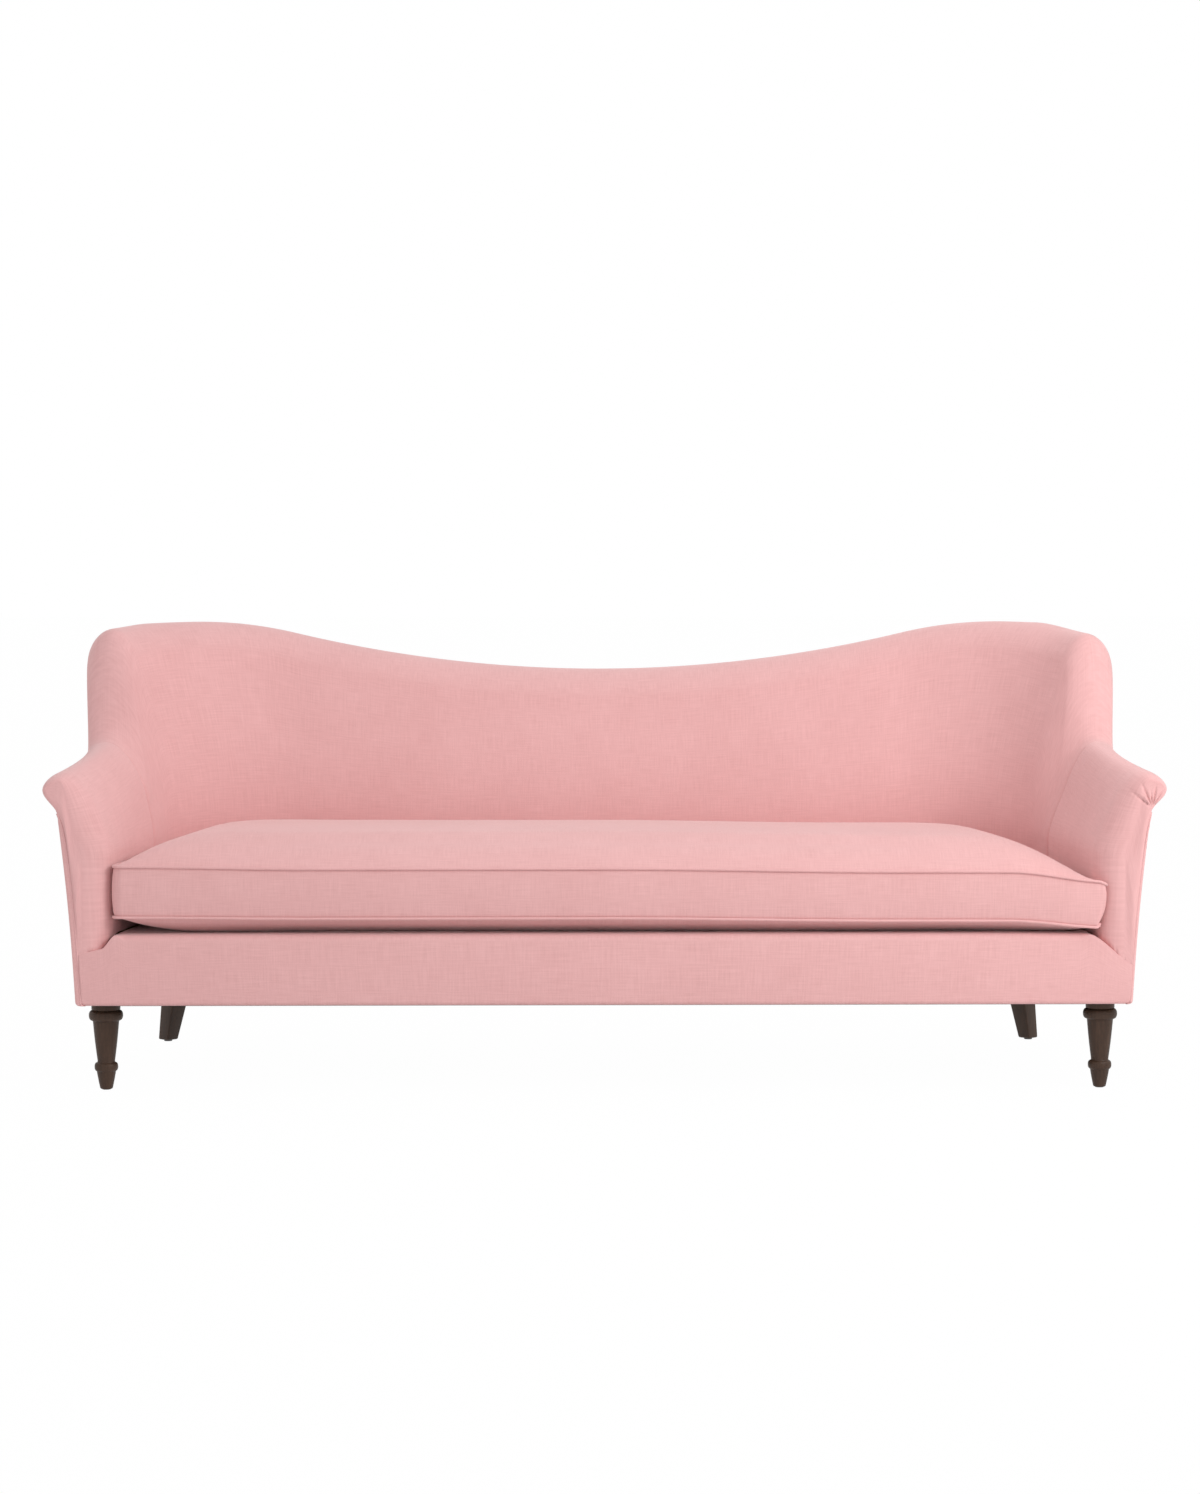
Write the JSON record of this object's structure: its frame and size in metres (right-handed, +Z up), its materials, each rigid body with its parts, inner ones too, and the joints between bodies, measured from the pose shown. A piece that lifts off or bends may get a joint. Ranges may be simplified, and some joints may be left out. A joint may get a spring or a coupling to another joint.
{
  "type": "upholstered sofa",
  "caption": "Bench-seat sofa with a tight back that dips between two rounded humps, wrapped ends, outward-rolled arms, a loose crowned cushion and turned front legs.",
  "frame": {"origin": "on the floor, under the middle of the sofa's bounding box", "axes": "+X to the right as seen from the front, +Y to the back, +Z up"},
  "size_m": [2.3184, 0.875, 0.9509],
  "materials": {
    "pink_fabric": "soft plain weave",
    "lining": "matte",
    "frame_timber": "sawn",
    "jute": "woven",
    "spring_steel": "satin",
    "leg_wood": "satin stain",
    "glide_steel": "satin"
  },
  "bodies": {
    "frame": {"inside_back": "pink_fabric", "outside_back": "pink_fabric", "arm_right": "pink_fabric", "arm_left": "pink_fabric", "outside_arm_right": "pink_fabric", "outside_arm_left": "pink_fabric", "arm_welt_right": "pink_fabric", "arm_welt_left": "pink_fabric", "front_border": "pink_fabric", "deck_pad": "pink_fabric", "dust_cover": "lining", "front_rail": "frame_timber", "back_rail": "frame_timber", "spring_rail": "frame_timber", "stretcher_left": "frame_timber", "stretcher_right": "frame_timber", "side_rail_right": "frame_timber", "side_rail_left": "frame_timber", "front_corner_block_right": "frame_timber", "front_corner_block_left": "frame_timber", "rear_corner_block_right": "frame_timber", "rear_corner_block_left": "frame_timber", "arm_post_right": "frame_timber", "arm_post_left": "frame_timber", "arm_top_rail_right": "frame_timber", "arm_top_rail_left": "frame_timber", "arm_tack_rail_right": "frame_timber", "arm_tack_rail_left": "frame_timber", "back_post_right": "frame_timber", "back_post_left": "frame_timber", "back_top_rail": "frame_timber", "back_tack_rail": "frame_timber", "back_upright_1": "frame_timber", "back_upright_2": "frame_timber", "back_upright_3": "frame_timber", "back_upright_4": "frame_timber", "back_web_1": "jute", "back_web_2": "jute", "back_web_3": "jute", "back_web_4": "jute", "back_web_5": "jute", "seat_spring_1": "spring_steel", "seat_spring_2": "spring_steel", "seat_spring_3": "spring_steel", "seat_spring_4": "spring_steel", "seat_spring_5": "spring_steel", "seat_spring_6": "spring_steel", "seat_spring_7": "spring_steel", "seat_spring_8": "spring_steel", "front_leg_left": "leg_wood", "front_leg_right": "leg_wood", "rear_leg_right": "leg_wood", "rear_leg_left": "leg_wood", "front_glide_right": "glide_steel", "front_glide_left": "glide_steel", "rear_glide_right": "glide_steel", "rear_glide_left": "glide_steel"},
    "cushion": {"seat_cushion": "pink_fabric", "cushion_welt_top": "pink_fabric", "cushion_welt_bottom": "pink_fabric"}
  },
  "joints": [
    {"name": "cushion_lift", "type": "slide", "parent": "frame", "child": "cushion", "axis": [0, 0, 1], "range_m": [0, 0.65]}
  ]
}
